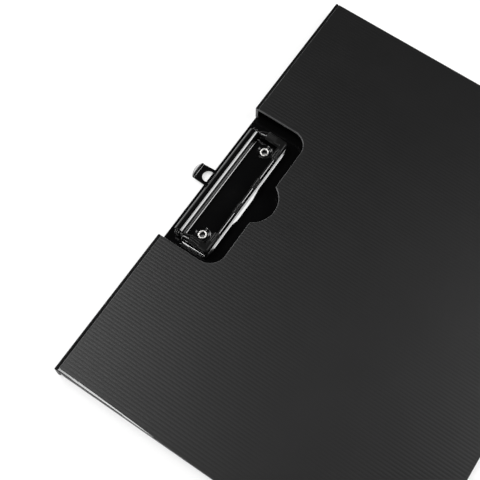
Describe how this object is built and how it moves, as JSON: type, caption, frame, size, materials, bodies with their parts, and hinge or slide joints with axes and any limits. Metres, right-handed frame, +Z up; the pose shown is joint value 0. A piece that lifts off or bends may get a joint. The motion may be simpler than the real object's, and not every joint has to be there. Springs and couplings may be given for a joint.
{
  "type": "clipboard folder",
  "caption": "Landscape clipboard folder with a ribbed hinged cover, a low sprung clip on the long edge and a slide-out hanger.",
  "frame": {"origin": "centre of the back panel's underside", "axes": "+X along the clip edge, +Y out over the clip edge, +Z up through the closed cover"},
  "size_m": [0.315, 0.2426, 0.0125],
  "materials": {
    "foam_sheet": "black foamed polypropylene with fine ribs",
    "black_steel": "gloss black",
    "bright_steel": "bright nickel",
    "spring_steel": "drawn wire",
    "rubber": "matt black"
  },
  "bodies": {
    "base": {"back_panel": "foam_sheet", "clip_plate": "black_steel", "rivet_left": "bright_steel", "rivet_right": "bright_steel", "washer_left": "bright_steel", "washer_right": "bright_steel", "spring_left": "spring_steel", "spring_right": "spring_steel"},
    "spine": {"spine_left": "foam_sheet", "spine_right": "foam_sheet"},
    "cover": {"front_cover": "foam_sheet"},
    "jaw": {"jaw_frame": "black_steel", "jaw_corner_left": "rubber", "jaw_corner_right": "rubber", "grip_lug_left": "rubber", "grip_lug_right": "rubber", "hinge_pin": "black_steel"},
    "hanger": {"hanger": "black_steel"}
  },
  "joints": [
    {"name": "spine_hinge", "type": "hinge", "parent": "base", "child": "spine", "pos_m": [0, 0.1159, 0.0011], "axis": [-1, 0, 0], "range_deg": [0, 180]},
    {"name": "cover_hinge", "type": "hinge", "parent": "spine", "child": "cover", "pos_m": [0, 0.1159, 0.0114], "axis": [-1, 0, 0], "range_deg": [0, 180]},
    {"name": "jaw_hinge", "type": "hinge", "parent": "base", "child": "jaw", "pos_m": [0, 0.1092, 0.00637], "axis": [-1, 0, 0], "range_deg": [0, 35], "stiffness_Nm_per_rad": 0.25, "springref_deg": -51.57},
    {"name": "hanger_slide", "type": "slide", "parent": "base", "child": "hanger", "axis": [0, 1, 0], "range_m": [-0.008, 0.004]}
  ]
}
